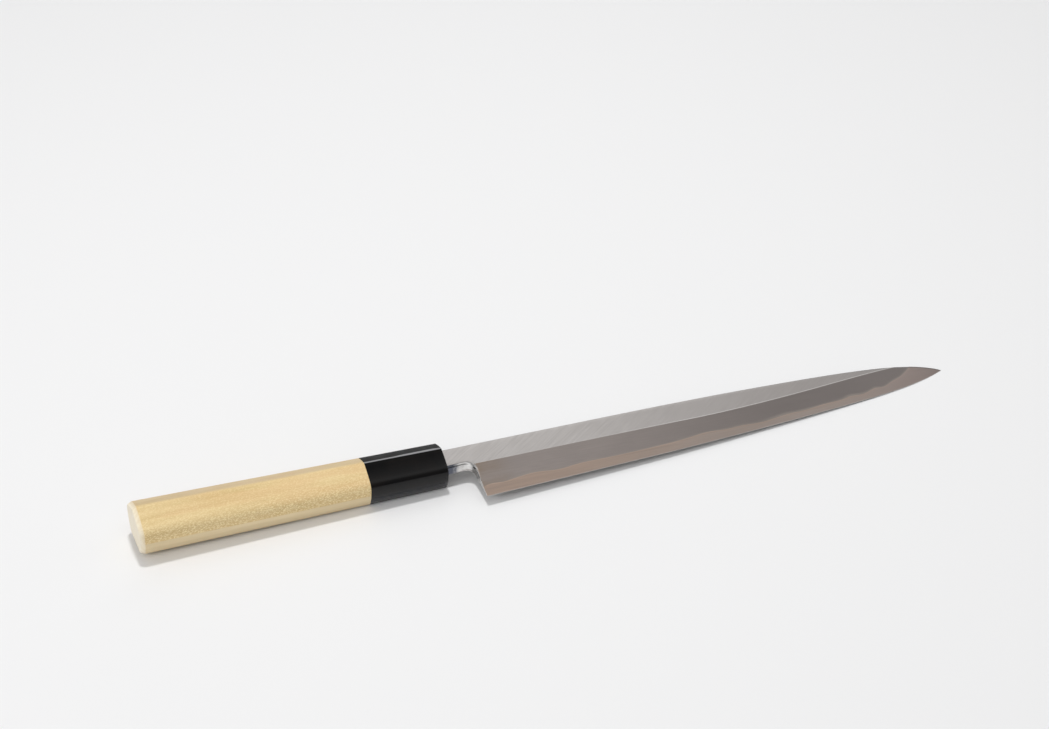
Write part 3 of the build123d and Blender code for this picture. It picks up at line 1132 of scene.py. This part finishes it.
polishedIron = {
    "fine": (8.0, 0.25),
    "fineTurn": 30.0,
    "cloudSize": 3.0,
    "tones": ((0.78, 0.77, 0.76), (0.86, 0.85, 0.84)),
    "cloudTint": (0.2, (0.5, 0.46, 0.42)),
    "paintedReflectionRagged": (-1.2, 1.2),
    "paintedReflectionFade": (3.5, 7.5, 0.95, 0.0),
    "paintedReflectionTone": (0.085, 0.095, 0.125),
    "roughness": (0.12, 0.22),
    "satinFade": (11.0, 14.0, 0.0, 0.14),
    "bump": (0.08, 0.00002),
}


# The polished neck and choil, with a painted dark reflection close to the ferrule, and less glossy towards the
# heel
def makePolishedIron():
    look = polishedIron
    material, sheet, shader, place = newMaterial("polishedIron", {"Metallic": 1.0})
    fine = sheet.lines(sheet.turned(place, look["fineTurn"]), look["fine"])
    cloud = sheet.cloud(place, look["cloudSize"])
    along = sheet.along(place)
    tone = sheet.mix(fine["Streak"], *look["tones"])
    tone = sheet.tint(tone, cloud, *look["cloudTint"])
    # The dark blue-grey near the ferrule is a painted reflection of dark surroundings
    ragged = sheet.math("ADD", along, sheet.between(cloud, look["paintedReflectionRagged"]))
    tone = sheet.mix(sheet.ease(ragged, look["paintedReflectionFade"]), tone, look["paintedReflectionTone"])
    satin = sheet.ease(along, look["satinFade"])
    roughness = sheet.math("ADD", sheet.between(cloud, look["roughness"]), satin)
    feedShader(sheet, shader, tone, roughness, fine["Height"], look["bump"])
    return material


endGrain = {
    "squeeze": (0.04, 1.0, 1.0),
    "pith": (-5.0, 38.0, -12.0),
    "wobbleScale": 0.12,
    "wobble": 3.0,
    "ringRate": 3.3,
    "tones": ((0.91, 0.83, 0.67), (0.87, 0.775, 0.60)),
    "dotScale": 3.2,
    "dots": (0.62, 0.72),
    "dotTint": (0.3, (0.60, 0.48, 0.31)),
    "sawnFade": (0.2, 1.9, 1.0, 0.55),
    "chamferFade": (1.95, 2.15, 1.0, 0.0),
}


# Year rings and pores on the butt, in pale tones that are partly the end grain's own and partly painted light,
# and the mask of where they show
def makeEndGrain(sheet, place):
    look = endGrain
    squeezed = sheet.vectorMath("MULTIPLY", place, look["squeeze"])
    distance = sheet.vectorMath("DISTANCE", squeezed, look["pith"], output="Value")
    wobble = sheet.times(sheet.noise(place, look["wobbleScale"]), look["wobble"])
    ring = sheet.math("SINE", sheet.times(sheet.math("ADD", distance, wobble), look["ringRate"]))
    # The end grain's tones are made paler than its own colour, as painted light on the butt
    tone = sheet.mix(sheet.ease(ring, (-1.0, 1.0)), *look["tones"])
    dots = sheet.remap(sheet.noise(place, look["dotScale"]), look["dots"])
    inward = sheet.mark("buttOffset")
    mask = sheet.times(sheet.remap(inward, look["sawnFade"]), sheet.remap(inward, look["chamferFade"]))
    return sheet.tint(tone, dots, *look["dotTint"]), mask


magnolia = {
    "swaySize": (60.0, 30.0),
    "sway": (-4.0, 4.0),
    "streaks": (90.0, 4.5),
    "threads": (16.0, 0.35),
    "cloudShape": (3.0, 1.0),
    "cloudSize": 8.0,
    "grainSize": (0.95, 0.5),
    "grainNoise": (2.0, 0.75),
    "fleck": (0.47, 0.63),
    "shade": (0.3, 0.46, 1.0, 0.0),
    "blushSize": (42.0, 7.0),
    "blush": (0.42, 0.62),
    "poreSize": (1.6, 0.11),
    "pore": (0.66, 0.74),
    "topFade": (2.0, 8.5, 1.0, 0.35),       # the grain shows most on the flank
    "lowFade": (-1.9, -1.2, 0.1, 1.0),
    "tones": ((0.64, 0.455, 0.20), (0.83, 0.635, 0.335)),
    "cloudTint": (0.25, (0.82, 0.65, 0.37)),
    "blushFade": (2.0, 6.0, 0.05, 0.45),
    "blushTone": (0.74, 0.49, 0.25),
    "flankFade": (-1.5, 3.5, 0.3, 0.0),
    "flankTone": (0.76, 0.53, 0.22),
    "shadeTint": (0.4, (0.62, 0.43, 0.165)),
    "fleckTint": (0.8, (1.0, 0.86, 0.52)),
    "threadTint": (0.14, (0.60, 0.42, 0.19)),
    "poreTint": (0.2, (0.50, 0.34, 0.16)),
    "bounceLightFade": (-1.9, -1.4, 1.0, 0.0),
    "bounceLightStrength": 0.75,
    "bounceLightTones": ((0.76, 0.63, 0.41), (0.87, 0.73, 0.49)),
    "spineFade": (-0.6, 2.6, 0.0, 0.55),
    "spineShadeTone": (0.52, 0.40, 0.25),
    "roughness": (0.52, 0.4),
    "poreDepth": 0.5,
    "bump": (0.25, 0.00006),
}


# Sanded magnolia: soft streaks, small flecks, short pores, and end grain on the butt whose pale tone is partly
# its own and partly painted light. A darker band on the spine flank is painted shade, and a paler band low
# down is painted bounce light
def makeWood():
    look = magnolia
    material, sheet, shader, place = newMaterial("magnolia", {"Specular IOR Level": 0.4})
    sway = sheet.between(sheet.longNoise(place, look["swaySize"]), look["sway"])
    bent = sheet.vectorMath("ADD", place, sheet.add("CombineXYZ", Y=sway).outputs[0])
    streak = sheet.lines(bent, look["streaks"])["Streak"]
    thread = sheet.lines(bent, look["threads"])
    cloud = sheet.cloud(sheet.stretch(place, look["cloudShape"]), look["cloudSize"])
    grain = sheet.longNoise(bent, look["grainSize"], *look["grainNoise"])
    blush = sheet.ease(sheet.longNoise(place, look["blushSize"]), look["blush"])
    pore = sheet.remap(sheet.longNoise(bent, look["poreSize"]), look["pore"])
    level = sheet.mark("gripLevel")
    flank = sheet.times(sheet.ease(level, look["topFade"]), sheet.ease(level, look["lowFade"]))
    shade = sheet.times(sheet.ease(grain, look["shade"]), flank)
    fleck = sheet.times(sheet.ease(grain, look["fleck"]), flank)
    tone = sheet.mix(streak, *look["tones"])
    tone = sheet.tint(tone, cloud, *look["cloudTint"])
    tone = sheet.tint(tone, blush, sheet.ease(level, look["blushFade"]), look["blushTone"])
    tone = sheet.mix(sheet.ease(level, look["flankFade"]), tone, look["flankTone"])
    tone = sheet.tint(tone, shade, *look["shadeTint"])
    tone = sheet.tint(tone, fleck, *look["fleckTint"])
    tone = sheet.tint(tone, thread["Streak"], *look["threadTint"])
    tone = sheet.tint(tone, pore, *look["poreTint"])
    # The paler, greyer band low on the handle is painted light bounced from the floor, with the grain's
    # streaks in it
    bounceLightTone = sheet.mix(streak, *look["bounceLightTones"])
    tone = sheet.tint(tone, sheet.ease(level, look["bounceLightFade"]), look["bounceLightStrength"], bounceLightTone)
    # The darker, greyer band above the ridge is painted shade on the spine flank
    tone = sheet.mix(sheet.ease(sheet.mark("crestOffset"), look["spineFade"]), tone, look["spineShadeTone"])
    endTone, sawn = makeEndGrain(sheet, place)
    tone = sheet.mix(sawn, tone, endTone)
    height = sheet.math("SUBTRACT", thread["Height"], sheet.times(pore, look["poreDepth"]))
    feedShader(sheet, shader, tone, sheet.between(cloud, look["roughness"]), height, look["bump"])
    return material


horn = {
    "streaks": (30.0, 1.6),
    "marks": (10.0, 0.12),
    "marksTurn": 80.0,
    "cloudSize": 9.0,
    "tones": ((0.0008, 0.0008, 0.0011), (0.0055, 0.0033, 0.0024)),
    "paintedHighlightFade": (0.2, 0.65, 1.0, 0.0),
    "paintedHighlightStreaks": (0.6, 1.0),
    "paintedHighlightLevel": (7.6, 8.2),
    "paintedHighlightTone": (0.36, 0.36, 0.37),
    "lowFade": (-6.0, -1.0, 1.0, 0.0),
    "floorReflectionTone": (0.042, 0.042, 0.046),
    "roughness": (0.17, 0.24),
    "satinFade": (0.5, 1.4, 0.0, 0.4),
    "bump": (0.05, 0.00001),
}


# Polished buffalo horn: nearly black, with faint brown streaks, fine marks and a painted highlight along the
# ridge
def makeHorn():
    look = horn
    material, sheet, shader, place = newMaterial("horn", {"IOR": 1.37})
    streak = sheet.lines(place, look["streaks"])["Streak"]
    marks = sheet.lines(sheet.turned(place, look["marksTurn"]), look["marks"])
    cloud = sheet.cloud(place, look["cloudSize"])
    across, level = sheet.mark("crestOffset"), sheet.mark("gripLevel")
    tone = sheet.mix(sheet.times(streak, cloud), *look["tones"])
    # A pale grey painted along the top of the ridge is a painted highlight on its rounded crest
    ridgeHighlightMask = sheet.ease(sheet.math("ABSOLUTE", across), look["paintedHighlightFade"])
    paintedRidgeHighlight = sheet.times(ridgeHighlightMask, sheet.between(streak, look["paintedHighlightStreaks"]))
    paintedRidgeHighlight = sheet.times(paintedRidgeHighlight, sheet.remap(level, look["paintedHighlightLevel"]))
    tone = sheet.mix(paintedRidgeHighlight, tone, look["paintedHighlightTone"])
    # The lighter grey low on the horn is a painted reflection of the floor
    tone = sheet.mix(sheet.ease(level, look["lowFade"]), tone, look["floorReflectionTone"])
    satin = sheet.ease(across, look["satinFade"])
    roughness = sheet.math("ADD", sheet.between(cloud, look["roughness"]), satin)
    feedShader(sheet, shader, tone, roughness, marks["Height"], look["bump"])
    return material


woodMaterial = makeWood()
hornMaterial = makeHorn()
flatMaterial = makeFlatIron()
bevelMaterial = makeBevelIron()
stripMaterial = makeStripSteel()
backMaterial = makeBackSteel()
polishedMaterial = makePolishedIron()
print("materials ready")

buildHandle()
buildFerrule()
buildCladding()
buildSteel()
